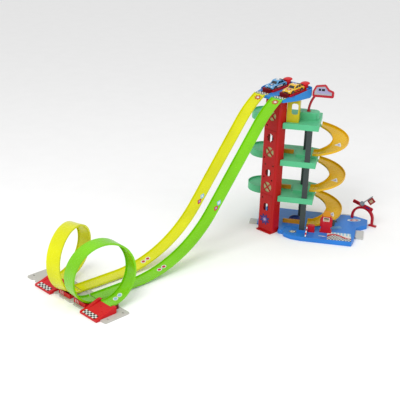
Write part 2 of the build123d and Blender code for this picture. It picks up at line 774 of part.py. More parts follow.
def make_car(side, colour):
    y = lane_y(side)

    def side_view(offset):
        return slope_side_plane(CAR_X, y + offset, CAR_RISE)

    half = CAR_BODY_WIDTH / 2
    with BuildPart() as body:
        with BuildSketch(side_view(half)) as lower:
            with BuildLine():
                Polyline((-46, 7), (-46, 14), (-38, 19), (-16, 22), (36, 22.5), (46, 19),
                         (46, 7), close=True)
            make_face()
            fillet(lower.vertices(), 3)
        extrude(amount=CAR_BODY_WIDTH)
        sides = body.faces().sort_by(Axis.Y)
        fillet(sides[0].outer_wire().edges() + sides[-1].outer_wire().edges(), 2.5)
        with BuildSketch(side_view(half - 4)) as cabin:
            with BuildLine():
                Polyline((-18, 20), (-4, 31), (3, 33.5), (17, 33.5), (24, 31), (38, 20),
                         close=True)
            make_face()
            fillet(cabin.vertices().sort_by(Axis.Z)[2:], 3)
        extrude(amount=CAR_BODY_WIDTH - 8)
        with BuildSketch(side_view(half - 3)):
            with BuildLine():
                Polyline((-42, -1), (-42, 16), (42, 18), (42, -1), close=True)
            make_face()
        extrude(amount=CAR_BODY_WIDTH - 6, mode=Mode.SUBTRACT)
        with BuildSketch(side_view(half + 4)):
            with Locations((-AXLE_SPACING / 2, WHEEL_RADIUS), (AXLE_SPACING / 2, WHEEL_RADIUS)):
                Circle(WHEEL_RADIUS + 1.3)
        extrude(amount=CAR_BODY_WIDTH + 8, mode=Mode.SUBTRACT)
    save(body, f"{colour}_car_body")

    chassis_half = CAR_WIDTH / 2 - WHEEL_WIDTH - 2.5
    with BuildPart() as chassis:
        with BuildSketch(side_view(chassis_half)):
            with BuildLine():
                Polyline((-41.5, 5), (-41.5, 9), (-34, 13.5), (34, 13.5), (41.5, 9), (41.5, 5),
                         close=True)
            make_face()
            with Locations((-AXLE_SPACING / 2, WHEEL_RADIUS), (AXLE_SPACING / 2, WHEEL_RADIUS)):
                Circle(AXLE_RADIUS + 0.06, mode=Mode.SUBTRACT)
        extrude(amount=2 * chassis_half)
    save(chassis, f"{colour}_car_chassis")

    for sign, name in ((-1, "front"), (1, "rear")):
        centre_x = sign * AXLE_SPACING / 2
        with BuildPart() as wheels:
            with BuildSketch(side_view(CAR_WIDTH / 2 - 1)):
                with Locations((centre_x, WHEEL_RADIUS)):
                    Circle(AXLE_RADIUS)
            extrude(amount=CAR_WIDTH - 2)
            for offset in (CAR_WIDTH / 2, -CAR_WIDTH / 2 + WHEEL_WIDTH):
                with BuildSketch(side_view(offset)):
                    with Locations((centre_x, WHEEL_RADIUS)):
                        Circle(WHEEL_RADIUS)
                extrude(amount=WHEEL_WIDTH)
        save(wheels, f"{colour}_car_{name}_wheels")


# ---- sign on the top deck ----
SIGN_POST = (141, 92)


def make_sign():
    foot_z = deck_top(LEVELS) + 31
    with BuildPart() as post:
        with BuildSketch(garage_plane(foot_z)):
            with Locations(SIGN_POST):
                RectangleRounded(16, 10, 3)
        extrude(amount=5)
        with BuildLine(Plane(origin=garage_plane(foot_z).from_local_coords(Vector(*SIGN_POST)),
                             x_dir=GARAGE_U, z_dir=garage_plane().y_dir * -1)) as path:
            ThreePointArc((-1, 1.2), (5, 36), (22, 70))
        with BuildSketch(Plane(origin=path.line @ 0, z_dir=path.line % 0)):
            Circle(5)
        sweep(path=path.line)
    save(post, "sign_post")

    frame_plane = Plane(origin=garage_plane(0).from_local_coords(Vector(SIGN_POST[0], SIGN_POST[1] - 8)),
                        x_dir=GARAGE_U, z_dir=garage_plane().y_dir * -1)
    with BuildPart() as frame:
        with BuildSketch(frame_plane) as outline:
            with BuildLine():
                Polyline((10, 588), (10, 610), (22, 636), (62, 642), (78, 622), (98, 614),
                         (98, 588), close=True)
            make_face()
            fillet(outline.vertices(), 8)
        extrude(amount=8)
        with BuildSketch(frame_plane.offset(5)) as recess:
            with BuildLine():
                Polyline((10, 588), (10, 610), (22, 636), (62, 642), (78, 622), (98, 614),
                         (98, 588), close=True)
            make_face()
            fillet(recess.vertices(), 8)
            offset(amount=-7)
        extrude(amount=6, mode=Mode.SUBTRACT)
    save(frame, "sign_frame")


# ---- fuel pump ----
def make_pump():
    centre = (258, 32)
    with BuildPart() as body:
        with BuildSketch(garage_plane(BASE_TOP)):
            with Locations(centre):
                RectangleRounded(50, 34, 6)
        extrude(amount=6)
        with BuildSketch(garage_plane(BASE_TOP + 6)):
            with Locations(centre):
                RectangleRounded(40, 26, 5)
        extrude(amount=66)
        with BuildSketch(garage_plane(BASE_TOP + 26)):
            with Locations(centre):
                RectangleRounded(52, 22, 5)
        extrude(amount=34)
    save(body, "pump_body")
    with BuildPart() as top:
        with BuildSketch(garage_plane(BASE_TOP + 72)):
            with Locations(centre):
                RectangleRounded(34, 22, 5)
        extrude(amount=22, taper=12)
        fillet(top.faces().sort_by(Axis.Z)[-1].edges(), 4)
    save(top, "pump_top")
    with BuildPart() as nozzle:
        with BuildSketch(garage_plane(BASE_TOP + 30)):
            with Locations((centre[0] + 31, centre[1])):
                RectangleRounded(9.6, 14, 2.5)
        extrude(amount=24)
        with BuildSketch(garage_plane(BASE_TOP + 48)):
            with Locations((centre[0] + 35, centre[1])):
                RectangleRounded(17, 8, 2.5)
        extrude(amount=7)
    save(nozzle, "pump_nozzle")


# ---- barrier ----
BARRIER_POST = (198, 17)
BARRIER_PIVOT = (184, 15)
BARRIER_PIVOT_Z = BASE_TOP + 20
BARRIER_DROOP = 11           # degrees below level at rest
BARRIER_LENGTH = 72


def barrier_plane(u):
    """Upright plane across the exit lane at this u, its x axis along the drooping arm."""
    out = garage_plane().y_dir * -1
    droop = math.radians(BARRIER_DROOP)
    along = out * math.cos(droop) + Vector(0, 0, -1) * math.sin(droop)
    origin = garage_plane(BARRIER_PIVOT_Z).from_local_coords(Vector(u, BARRIER_PIVOT[1]))
    return Plane(origin=origin, x_dir=along, z_dir=GARAGE_U * -1)


def make_barrier():
    with BuildPart() as post:
        with BuildSketch(garage_plane(BASE_TOP)):
            with Locations(BARRIER_POST):
                RectangleRounded(28, 20, 4)
        extrude(amount=28)
        with BuildSketch(garage_plane(BASE_TOP)):
            with Locations(BARRIER_POST):
                RectangleRounded(29, 26, 4)
        extrude(amount=6)
        with BuildSketch(barrier_plane(BARRIER_PIVOT[0] + 2)):
            Circle(2.4)
        extrude(amount=9)
    save(post, "barrier_post")
    with BuildPart() as arm:
        with BuildSketch(barrier_plane(BARRIER_PIVOT[0] - 1.2)):
            Circle(5.5)
            with Locations((BARRIER_LENGTH / 2, 0)):
                RectangleRounded(BARRIER_LENGTH, 7, 2)
            Circle(2.46, mode=Mode.SUBTRACT)
        extrude(amount=5)
    save(arm, "barrier_arm")


# ---- finish arch with banner, disc and flag ----
ARCH_CENTRE = (406, 205)
ARCH_TURN = GARAGE_TURN - 21


def arch_plane(back=0.0):
    """Upright plane through the arch, facing the lanes' near side."""
    turn = math.radians(ARCH_TURN)
    along = Vector(math.cos(turn), math.sin(turn), 0)
    facing = Vector(math.sin(turn), -math.cos(turn), 0)
    origin = garage_plane().from_local_coords(Vector(*ARCH_CENTRE)) - facing * back
    return Plane(origin=origin, x_dir=along, z_dir=facing)


FLAG_PIVOT = (-2, 100)


def make_arch():
    with BuildPart() as arch:
        with BuildSketch(arch_plane(6)):
            with Locations((0, 30)):
                Circle(52)
                Circle(42, mode=Mode.SUBTRACT)
            with Locations((0, -20)):
                Rectangle(140, 100, mode=Mode.SUBTRACT)
            with Locations((-47, 24.2)):
                Rectangle(10, 12)
            with Locations((47, 15.2)):
                Rectangle(10, 30)
            with Locations((50, 3)):
                Rectangle(34, 6)
        extrude(amount=12)
    save(arch, "finish_arch")
    with BuildPart() as banner:
        with BuildSketch(arch_plane(-6.2)):
            with Locations((0, 90)):
                RectangleRounded(96, 15, 3, rotation=-14)
        extrude(amount=5)
        with BuildSketch(arch_plane(-2)):
            with Locations((0, 86)):
                Rectangle(16, 6)
        extrude(amount=4.3)
    save(banner, "finish_banner")
    with BuildPart() as disc:
        with BuildSketch(arch_plane(-11.4)):
            with Locations(FLAG_PIVOT):
                Circle(11)
        extrude(amount=4)
    save(disc, "finish_disc")
    with BuildPart() as flag:
        with BuildSketch(arch_plane(-15.8)):
            with Locations(FLAG_PIVOT):
                Circle(6)
            with Locations(Location((FLAG_PIVOT[0] + 22, FLAG_PIVOT[1] + 22, 0), 45)):
                SlotOverall(66, 4.8)
        extrude(amount=4)
    save(flag, "flag_pole")
    with BuildPart() as cloth:
        with BuildSketch(arch_plane(-15.2)):
            with Locations(Location((FLAG_PIVOT[0] + 41.3, FLAG_PIVOT[1] + 20.9, 0), 45)):
                Rectangle(30, 24)
        extrude(amount=2.6)
    save(cloth, "flag_panel")


def make_connectors():
    """Pale stubs that take more track at the base's edges."""
    with BuildPart() as connectors:
        for centre, size in (((-58.4, 88), (36, 46)), ((401, 68), (34, 80)), ((338, 258.2), (44, 36))):
            with BuildSketch(garage_plane()) as plan:
                with Locations(centre):
                    Rectangle(*size)
                fillet(plan.vertices(), 5)
            extrude(amount=7)
    save(connectors, "track_connectors")


make_base()
make_shaft()
make_shaft_post()
for level in range(1, LEVELS + 1):
    make_deck(level)
    make_columns(level)
    make_spiral(level - 1)
make_ramp_cover()
make_tray_support()
make_guards()
for side, colour in ((-1, "green"), (1, "yellow")):
    make_lane(side, colour, True)
    make_lane(side, colour, False)
    make_loop(side, colour)
make_plate("loop_plate_near", PLATE_ENDS_Y[0], PLATE_SPLIT_Y - 0.2)
make_plate("loop_plate_far", PLATE_SPLIT_Y + 0.2, PLATE_ENDS_Y[1])
for side, place in ((-1, "near"), (1, "far")):
    make_finish_ramp(side, f"finish_ramp_{place}")
    make_cradle(side, f"loop_cradle_{place}")
    make_bed(side, f"car_bed_{place}")
    make_lever(side, f"launch_lever_{place}")
    make_gate(side, f"start_gate_{place}")
make_ramp_clips()
make_track_clips()
make_tray()
make_pins()
make_car(-1, "yellow")
make_car(1, "blue")
make_sign()
make_pump()
make_barrier()
make_arch()
make_connectors()
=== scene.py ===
"""Looks for the twin-lane gravity loop track with its parking-garage tower."""

import json
import math

import bmesh
import bpy
from mathutils import Matrix, Vector


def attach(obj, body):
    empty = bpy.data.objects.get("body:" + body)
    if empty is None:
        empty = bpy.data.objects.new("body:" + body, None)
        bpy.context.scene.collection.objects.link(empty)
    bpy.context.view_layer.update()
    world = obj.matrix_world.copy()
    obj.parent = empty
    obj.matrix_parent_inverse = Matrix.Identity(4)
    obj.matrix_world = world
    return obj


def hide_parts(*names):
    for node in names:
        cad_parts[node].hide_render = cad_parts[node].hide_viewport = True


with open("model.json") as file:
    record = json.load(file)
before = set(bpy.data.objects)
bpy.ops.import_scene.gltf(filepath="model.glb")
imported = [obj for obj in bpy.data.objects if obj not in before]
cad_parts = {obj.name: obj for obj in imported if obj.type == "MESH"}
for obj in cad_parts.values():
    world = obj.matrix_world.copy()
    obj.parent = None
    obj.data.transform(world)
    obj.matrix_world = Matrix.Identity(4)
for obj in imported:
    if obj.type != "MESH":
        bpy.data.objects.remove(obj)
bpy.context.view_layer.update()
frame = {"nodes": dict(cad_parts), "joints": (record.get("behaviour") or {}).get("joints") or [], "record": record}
nodes = frame["nodes"]
joints = {joint["name"]: joint for joint in frame["joints"]}
ROOT = "track_set"
MM = 0.001


# ---- materials ----
DEPTH = 0.80                 # keeps the plastics deep under the bright studio


def linear(rgb, gain=1.0):
    """Screen colour 0-255 as a linear node colour."""
    out = []
    for channel in rgb:
        c = channel / 255
        c = c / 12.92 if c <= 0.04045 else ((c + 0.055) / 1.055) ** 2.4
        out.append(min(1.0, c * gain))
    return (*out, 1.0)


def noise(tree, coords, scale, detail=3.0, rough=0.5):
    node = tree.nodes.new("ShaderNodeTexNoise")
    node.inputs["Scale"].default_value = scale
    node.inputs["Detail"].default_value = detail
    node.inputs["Roughness"].default_value = rough
    tree.links.new(coords.outputs["Object"], node.inputs["Vector"])
    return node


def span(tree, source, low, high):
    """Map a 0.3-0.7 noise value to low-high."""
    node = tree.nodes.new("ShaderNodeMapRange")
    node.inputs["From Min"].default_value = 0.3
    node.inputs["From Max"].default_value = 0.7
    node.inputs["To Min"].default_value = low
    node.inputs["To Max"].default_value = high
    tree.links.new(source, node.inputs["Value"])
    return node.outputs["Result"]


def plastic(name, rgb, rough=0.35, drift=0.10, grain=0.06, coat=0.0, metallic=0.0, gain=DEPTH):
    """Moulded plastic: slow colour drift, handling scuffs in the gloss, fine mould grain."""
    mat = bpy.data.materials.new(name)
    mat.use_nodes = True
    tree = mat.node_tree
    bsdf = tree.nodes["Principled BSDF"]
    coords = tree.nodes.new("ShaderNodeTexCoord")
    flow = noise(tree, coords, 9.0)
    mix = tree.nodes.new("ShaderNodeMix")
    mix.data_type = "RGBA"
    mix.inputs["A"].default_value = linear(rgb, gain * (1 - drift))
    mix.inputs["B"].default_value = linear(rgb, gain * (1 + drift * 0.6))
    tree.links.new(span(tree, flow.outputs["Fac"], 0, 1), mix.inputs["Factor"])
    tree.links.new(mix.outputs["Result"], bsdf.inputs["Base Color"])
    scuff = noise(tree, coords, 70.0, 6.0, 0.7)
    tree.links.new(span(tree, scuff.outputs["Fac"], rough * 0.82, min(1, rough * 1.35)),
                   bsdf.inputs["Roughness"])
    mould = noise(tree, coords, 1300.0, 2.0)
    ripple = noise(tree, coords, 28.0, 1.0)
    fine = tree.nodes.new("ShaderNodeBump")
    fine.inputs["Strength"].default_value = grain
    fine.inputs["Distance"].default_value = 0.0003
    tree.links.new(mould.outputs["Fac"], fine.inputs["Height"])
    broad = tree.nodes.new("ShaderNodeBump")
    broad.inputs["Strength"].default_value = 0.10
    broad.inputs["Distance"].default_value = 0.0012
    tree.links.new(ripple.outputs["Fac"], broad.inputs["Height"])
    tree.links.new(fine.outputs["Normal"], broad.inputs["Normal"])
    tree.links.new(broad.outputs["Normal"], bsdf.inputs["Normal"])
    bsdf.inputs["Coat Weight"].default_value = coat
    bsdf.inputs["Coat Roughness"].default_value = 0.12
    bsdf.inputs["Metallic"].default_value = metallic
    bsdf.inputs["Specular IOR Level"].default_value = 0.28
    mat.diffuse_color = linear(rgb)
    return mat


def print_ink(name, rgb):
    return plastic(f"ink_{name}", rgb, 0.30, coat=0.1, grain=0.02)


def striped(name, first, second, direction, pitch):
    """Two printed colours in bands across a direction."""
    mat = plastic(name, first)
    tree = mat.node_tree
    mix = next(n for n in tree.nodes if n.type == "MIX")
    coords = next(n for n in tree.nodes if n.type == "TEX_COORD")
    dot = tree.nodes.new("ShaderNodeVectorMath")
    dot.operation = "DOT_PRODUCT"
    dot.inputs[1].default_value = [c / pitch for c in direction]
    tree.links.new(coords.outputs["Object"], dot.inputs[0])
    wrap = tree.nodes.new("ShaderNodeMath")
    wrap.operation = "FRACT"
    tree.links.new(dot.outputs["Value"], wrap.inputs[0])
    step = tree.nodes.new("ShaderNodeMath")
    step.operation = "GREATER_THAN"
    step.inputs[1].default_value = 0.5
    tree.links.new(wrap.outputs["Value"], step.inputs[0])
    mix.inputs["A"].default_value = linear(first)
    mix.inputs["B"].default_value = linear(second)
    tree.links.new(step.outputs["Value"], mix.inputs["Factor"])
    return mat


BARRIER_ALONG = (-0.823, -0.535, -0.191)
paints = {
    "base_blue": plastic("base_blue", (45, 135, 232), 0.32),
    "shaft_red": plastic("shaft_red", (196, 8, 12), 0.30),
    "post_dark": plastic("post_dark", (44, 50, 50), 0.42),
    "deck_mint": plastic("deck_mint", (98, 208, 152), 0.38),
    "column_grey": plastic("column_grey", (62, 72, 72), 0.36),
    "spiral_amber": plastic("spiral_amber", (250, 196, 10), 0.26, coat=0.1),
    "wall_lemon": plastic("wall_lemon", (214, 198, 12), 0.34),
    "guard_orange": plastic("guard_orange", (226, 150, 18), 0.34),
    "track_lime": plastic("track_lime", (134, 220, 4), 0.24, coat=0.12),
    "track_yellow": plastic("track_yellow", (236, 238, 8), 0.24, coat=0.12),
    "plate_white": plastic("plate_white", (206, 204, 196), 0.45),
    "ramp_red": plastic("ramp_red", (222, 20, 30), 0.30),
    "clip_dark_red": plastic("clip_dark_red", (128, 10, 16), 0.40),
    "tray_blue": plastic("tray_blue", (36, 140, 222), 0.30),
    "pin_steel": plastic("pin_steel", (182, 184, 188), 0.28, grain=0.3, coat=0, metallic=1),
    "car_yellow": plastic("car_yellow", (246, 196, 30), 0.16, coat=0.8, grain=0.02),
    "car_blue": plastic("car_blue", (96, 172, 226), 0.16, coat=0.8, grain=0.02),
    "car_chassis": plastic("car_chassis", (38, 40, 46), 0.50),
    "car_wheel": plastic("car_wheel", (22, 22, 24), 0.55, coat=0),
    "sign_red": plastic("sign_red", (198, 34, 52), 0.28),
    "pump_red": plastic("pump_red", (214, 22, 40), 0.30),
    "barrier_white": striped("barrier_stripes", (214, 24, 36), (240, 236, 232),
                             BARRIER_ALONG, 0.030),
    "arch_red": plastic("arch_red", (196, 18, 36), 0.30),
    "disc_pale": plastic("disc_pale", (216, 224, 230), 0.35),
    "pole_grey": plastic("pole_grey", (158, 164, 166), 0.35),
    "flag_red": plastic("flag_red", (168, 20, 34), 0.38),
    "connector_grey": plastic("connector_grey", (218, 218, 214), 0.45),
}
ink = {
    "black": print_ink("black", (24, 24, 26)),
    "white": print_ink("white", (242, 242, 238)),
    "red": print_ink("red", (206, 36, 48)),
    "sky": print_ink("sky", (150, 208, 238)),
    "navy": print_ink("navy", (22, 44, 120)),
    "purple": print_ink("purple", (112, 66, 158)),
    "lilac": print_ink("lilac", (176, 172, 212)),
    "orange": print_ink("orange", (240, 138, 26)),
    "sand": plastic("ink_sand", (206, 176, 138), 0.34, coat=0.3, grain=0.02),
    "silver": plastic("ink_silver", (188, 190, 194), 0.22, coat=0.2, grain=0.02, metallic=0.7),
    "glass": plastic("ink_glass", (16, 20, 30), 0.07, drift=0.02, coat=1.0, grain=0.0),
    # Pale tan for the shaft windows: painted light standing in for the brightness seen through them, not a printed
    # colour.
    "window_light_paint": plastic("ink_olive", (196, 192, 140), 0.40, grain=0.02),
    "lamp": plastic("ink_lamp", (244, 240, 216), 0.10, coat=1.0, grain=0.0),
}

slot_of = {s["node"]: s["material_slot"] for s in frame["record"]["subparts"]}
for name, obj in nodes.items():
    obj.data.materials.clear()
    obj.data.materials.append(paints[slot_of[name]])


# ---- printed sheets ----
def new_object(name, bm, materials, body):
    mesh = bpy.data.meshes.new(name)
    bm.to_mesh(mesh)
    bm.free()
    for mat in materials:
        mesh.materials.append(mat)
    obj = bpy.data.objects.new(name, mesh)
    bpy.context.scene.collection.objects.link(obj)
    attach(obj, body)
    return obj


def decal(name, place, painter, cells=(36, 36), body=ROOT):
    """Printed sheet: place(u, v) is a point in mm, painter(u, v) an ink name or None."""
    across, along = cells
    bm = bmesh.new()
    corner = {}
    used = []

    def vertex(i, j):
        if (i, j) not in corner:
            corner[i, j] = bm.verts.new(Vector(place(i / across, j / along)) * MM)
        return corner[i, j]

    for i in range(across):
        for j in range(along):
            colour = painter((i + 0.5) / across, (j + 0.5) / along)
            if colour is None:
                continue
            if colour not in used:
                used.append(colour)
            face = bm.faces.new((vertex(i, j), vertex(i + 1, j), vertex(i + 1, j + 1),
                                 vertex(i, j + 1)))
            face.material_index = used.index(colour)
            face.smooth = True
    return new_object(name, bm, [ink[c] for c in used], body)


def flat_place(centre, x_dir, y_dir, width, height):
    centre, x_dir, y_dir = Vector(centre), Vector(x_dir), Vector(y_dir)
    return lambda u, v: centre + x_dir * ((u - 0.5) * width) + y_dir * ((v - 0.5) * height)


def chequer(columns, rows, first="black", second="white"):
    return lambda u, v: first if (int(u * columns) + int(v * rows)) % 2 else second


def roundel(*rings):
    """Rings given as (radius from 0 to 1, ink), the smallest first."""
    def paint(u, v):
        r = math.hypot(2 * u - 1, 2 * v - 1)
        return next((colour for radius, colour in rings if r < radius), None)
    return paint


def diamond(outer, inner):
    def paint(u, v):
        r = abs(2 * u - 1) + abs(2 * v - 1)
        return inner if r < 0.5 else outer if r < 1 else None
    return paint


def burst(points, depth, *rings):
    """A splash with soft points."""
    def paint(u, v):
        x, y = 2 * u - 1, 2 * v - 1
        edge = 1 - depth * (0.5 + 0.5 * math.cos(points * math.atan2(y, x)))
        r = math.hypot(x, y) / edge
        return next((colour for radius, colour in rings if r < radius), None)
    return paint


def triangle(u, v):
    """Road sign: pale rounded triangle with a coloured core."""
    x, y = 2 * u - 1, 2 * v - 1
    side = max(-y - 0.55, 0.866 * abs(x) + 0.5 * y - 0.55)
    return "lilac" if side < -0.28 else "white" if side < 0 else None


def pair(colour):
    """Two round spots, one after the other along the run."""
    def paint(u, v):
        r = math.hypot((u - (0.25 if u < 0.5 else 0.75)) * 4, 2 * v - 1)
        return colour if r < 0.62 else "white" if r < 0.92 else None
    return paint


# ---- lanes, in mm ----
SLOPE = math.radians(52.2)
TOP_SLOPE = math.radians(33)
TOP_X, CORNER_X, FLAT_Z = -15.3, -499.5, 6
LOW_R, HIGH_R = 492, 400
YAW = math.radians(2.5)      # the lanes drift to +Y on their way down
TOWER_MIDDLE_Y = 11
LANE_OFFSET = 46             # from the middle of the pair to either lane
LANE_Y = {side: TOWER_MIDDLE_Y + side * LANE_OFFSET for side in (-1, 1)}
LOOP_X, LOOP_MIDDLE_Y = -921, 50
LOOP_R = 120
LOOP_STEP = 88               # sideways step of one full loop
LOOP_SETTLE = 9              # the radius shrinks by this much over one loop
LOOP_SWAY = {-1: 0.1, 1: 0.42}   # how far each loop leans, as a share of its step
FLAT_END = CORNER_X - LOW_R * math.tan(SLOPE / 2)
BEND_X = TOP_X - HIGH_R * (math.sin(SLOPE) - math.sin(TOP_SLOPE))
BEND_Z = FLAT_Z + (BEND_X - CORNER_X) * math.tan(SLOPE)
HIGH_ARC = HIGH_R * (SLOPE - TOP_SLOPE)
LOW_ARC = LOW_R * SLOPE
STRAIGHT = (BEND_X - FLAT_END - LOW_R * math.sin(SLOPE)) / math.cos(SLOPE)


def lane_profile(run, rise):
    """Side view of a lane this far down from its top end and above its underside."""
    if run < HIGH_ARC:
        angle = TOP_SLOPE + run / HIGH_R
        return (BEND_X + HIGH_R * math.sin(SLOPE) - (HIGH_R + rise) * math.sin(angle),
                BEND_Z - HIGH_R * math.cos(SLOPE) + (HIGH_R + rise) * math.cos(angle))
    run -= HIGH_ARC
    if run < STRAIGHT:
        return (BEND_X - run * math.cos(SLOPE) - rise * math.sin(SLOPE),
                BEND_Z - run * math.sin(SLOPE) + rise * math.cos(SLOPE))
    run -= STRAIGHT
    if run < LOW_ARC:
        angle = SLOPE - run / LOW_R
        return (FLAT_END + (LOW_R - rise) * math.sin(angle),
                FLAT_Z + LOW_R - (LOW_R - rise) * math.cos(angle))
    return FLAT_END - (run - LOW_ARC), FLAT_Z + rise


def lane_place(side, start, end, low, high, rise=2.5):
    """On a lane's running side; start and end are mm of run down from its top end."""
    middle = LANE_Y[side]

    def place(u, v):
        x, z = lane_profile(start + (end - start) * u, rise)
        across = low + (high - low) * v
        along = x - TOP_X
        return (TOP_X + math.cos(YAW) * along + math.sin(YAW) * across,
                middle - math.sin(YAW) * along + math.cos(YAW) * across, z)
    return place


def loop_place(side, start, end, low, high, rise=2.6):
    """On a loop's running side; start and end are degrees from where it begins."""
    def place(u, v):
        angle = start + (end - start) * u
        turn, share = math.radians(angle), angle / 360
        radius = LOOP_R - LOOP_SETTLE * share - rise
        sideways = LOOP_STEP * (share - LOOP_SWAY[side] * math.sin(turn))
        return (LOOP_X - radius * math.sin(turn),
                LOOP_MIDDLE_Y + side * (LANE_OFFSET + sideways) + low + (high - low) * v,
                FLAT_Z + LOOP_R + LOOP_SETTLE * share - radius * math.cos(turn))
    return place


for side, colour in ((1, "yellow"), (-1, "green")):
    decal(f"{colour}_start_motif", lane_place(side, 5, 31, -24, 14),
          burst(7, 0.45, (0.45, "white"), (1, "red")), (36, 40))
    decal(f"{colour}_blue_diamond", lane_place(side, 468, 496, -25, -2),
          diamond("sky", "white"), (36, 36))
    decal(f"{colour}_red_diamond", lane_place(side, 492, 520, -25, -2),
          diamond("red", "lilac"), (36, 36))
    decal(f"{colour}_low_pair", lane_place(side, 812, 856, -11, 11), pair("red"), (60, 30))
    decal(f"{colour}_loop_pair", loop_place(side, 328, 350, -11, 11), pair("sky"), (60, 30))

# ---- tower front and spirals ----
GARAGE_TURN = -57            # degrees about Z
TURN = math.radians(GARAGE_TURN)
U = Vector((math.cos(TURN), math.sin(TURN), 0))
V = Vector((-math.sin(TURN), math.cos(TURN), 0))
UP = Vector((0, 0, 1))
ACROSS = (0, 1, 0)
TO_NEAR = (0, -1, 0)
LEVEL_PITCH = 160
WINDOW_HEIGHTS = (204, 359, 514)
WINDOW_WIDTH = 47
SPIRAL_CENTRE = (190, 187)
SPIRAL_DROP = 72             # mm per half turn
SPIRAL_FLOOR = 21.5          # running surface of the lowest spiral at its near end

decal("shaft_splash", flat_place((-0.35, 2, 56), TO_NEAR, UP, 56, 50),
      burst(8, 0.4, (0.3, "lilac"), (0.62, "purple"), (1, "navy")), (60, 60))
# Pale sheets inside the shaft behind its windows: painted light standing in for the brightness seen through the
# windows.
for height in WINDOW_HEIGHTS:
    decal(f"window_light_sheet_{height}",
          flat_place((3.6, 0, height), TO_NEAR, UP, WINDOW_WIDTH, WINDOW_WIDTH),
          roundel((1, "window_light_paint")), (40, 40))


def garage(u, v, z):
    """Point in the garage's own plan."""
    return U * u + V * v + UP * z


def spiral_place(index, middle, arc, low, high):
    """On a spiral's running surface; middle and arc in degrees from its near end."""
    base = SPIRAL_FLOOR + LEVEL_PITCH * index

    def place(u, v):
        angle = math.radians(middle + arc * (v - 0.5))
        radius = high + (low - high) * u
        spot = garage(*SPIRAL_CENTRE, base + SPIRAL_DROP * angle / math.pi)
        return spot - V * (radius * math.cos(angle)) + U * (radius * math.sin(angle))
    return place


for index in range(3):
    decal(f"spiral_sign_{index + 1}", spiral_place(index, 68, 22, 72, 108), triangle, (48, 48))

# ---- base prints ----
BASE_Z = 18.35


def base_place(u, v, width, height, turn=0.0, z=BASE_Z):
    c, s = math.cos(math.radians(turn)), math.sin(math.radians(turn))
    return flat_place(garage(u, v, z), U * c + V * s, V * c - U * s, width, height)


decal("pad_sign", base_place(122, -6, 34, 26, 20, 17.2),
      roundel((0.3, "sand"), (0.62, "white"), (1, "silver")), (40, 40))


def race_print(u, v):
    """Chequered finish print with a broad wave through it."""
    wave = 0.5 + 0.22 * math.sin(5 * u)
    if v < 0.3:
        return "black" if (int(u * 16) + int(v * 10)) % 2 else "white"
    if abs(v - wave) < 0.09:
        return "red"
    if v > 0.82 - 0.2 * u:
        return "sky" if int(u * 14) % 2 else "white"
    return "black" if (int(u * 16) + int(v * 10)) % 2 and v < wave else "white"


decal("race_print", base_place(318, -8, 100, 78, 3), race_print, (100, 78))
decal("oval_print", base_place(372, 190, 60, 30, 20), roundel((0.35, "white"), (0.62, "red"),
      (0.85, "sky"), (1, "white")), (48, 32))
decal("lane_print", base_place(300, 84, 46, 24, 24),
      lambda u, v: "sky" if int(v * 6) % 2 else None, (30, 36))
decal("arrow_print", base_place(250, -22, 34, 18, 0),
      lambda u, v: "white" if abs(v - 0.5) < (0.5 * (1 - u) if u > 0.5 else 0.18) else None,
      (40, 30))

# ---- loop end prints ----
RAMP_PRINT_X, RAMP_PRINT_Z = -1004.9, 11.4
CRADLE_FACE_X = -987.35
for side, place in ((-1, "near"), (1, "far")):
    middle = LOOP_MIDDLE_Y + side * (LANE_OFFSET + LOOP_STEP)
    decal(f"finish_chequer_{place}",
          flat_place((RAMP_PRINT_X, middle, RAMP_PRINT_Z), TO_NEAR,
                     Vector((22, 0, 4)).normalized(), 68, 20),
          chequer(8, 3), (80, 21))
    cradle = LOOP_MIDDLE_Y + side * (LANE_OFFSET + 6 - 30 * LOOP_SWAY[side])
    for number, shift in enumerate((8, 20)):
        decal(f"cradle_stripe_{place}_{number + 1}",
              flat_place((CRADLE_FACE_X, cradle + shift, 13.5), TO_NEAR, (0, 0.2, 0.98),
                         3.4, 13),
              lambda u, v: "white", (4, 12))


# ---- shaped pieces ----
def smooth_piece(name, outline, thick, plane, materials, body, bevel=1.2):
    """Bevelled plate cut from an outline in mm on a plane (origin, x, y)."""
    origin, x_dir, y_dir = (Vector(p) for p in plane)
    normal = x_dir.cross(y_dir).normalized()
    bm = bmesh.new()
    verts = [bm.verts.new((origin + x_dir * a + y_dir * b) * MM) for a, b in outline]
    face = bm.faces.new(verts)
    grown = bmesh.ops.extrude_face_region(bm, geom=[face])
    moved = [g for g in grown["geom"] if isinstance(g, bmesh.types.BMVert)]
    bmesh.ops.translate(bm, verts=moved, vec=normal * thick * MM)
    bmesh.ops.recalc_face_normals(bm, faces=bm.faces)
    bmesh.ops.bevel(bm, geom=bm.edges[:], offset=bevel * MM, segments=3, affect="EDGES",
                    profile=0.6)
    for f in bm.faces:
        f.smooth = True
    return new_object(name, bm, materials, body)


def ring_outline(width, height, power=2.6, steps=40):
    """Superellipse outline."""
    out = []
    for k in range(steps):
        a = 2 * math.pi * k / steps
        c, s = math.cos(a), math.sin(a)
        out.append((width / 2 * math.copysign(abs(c) ** (2 / power), c),
                    height / 2 * math.copysign(abs(s) ** (2 / power), s)))
    return out


# ---- cars: points are given along the car, up from the bed and across ----
WHEEL_R = 8.6
AXLE_HALF = 27
GLASS_Y = 17.2
FLANK_Y = 21.12
HUB_Y = 22.12
HANDS = ((1, "left"), (-1, "right"))
side_dir = Vector(ACROSS)


def hub(u, v):
    """Bright rim and centre with five spokes."""
    x, z = 2 * u - 1, 2 * v - 1
    r = math.hypot(x, z)
    if r > 0.62:
        return None
    if r < 0.16 or r > 0.5:
        return "silver"
    return "silver" if math.cos(5 * math.atan2(z, x)) > -0.1 else "black"


def side_window(u, v):
    a, b = -18 + 56 * u, 21 + 11.5 * v
    front_edge = -16.5 + 14 * (b - 20) / 11
    rear_edge = 36.5 - 14 * (b - 20) / 11
    if b > 31.2 or b < 22.2 or not front_edge + 3 < a < rear_edge - 3 or 9 < a < 11.5:
        return None
    return "glass"


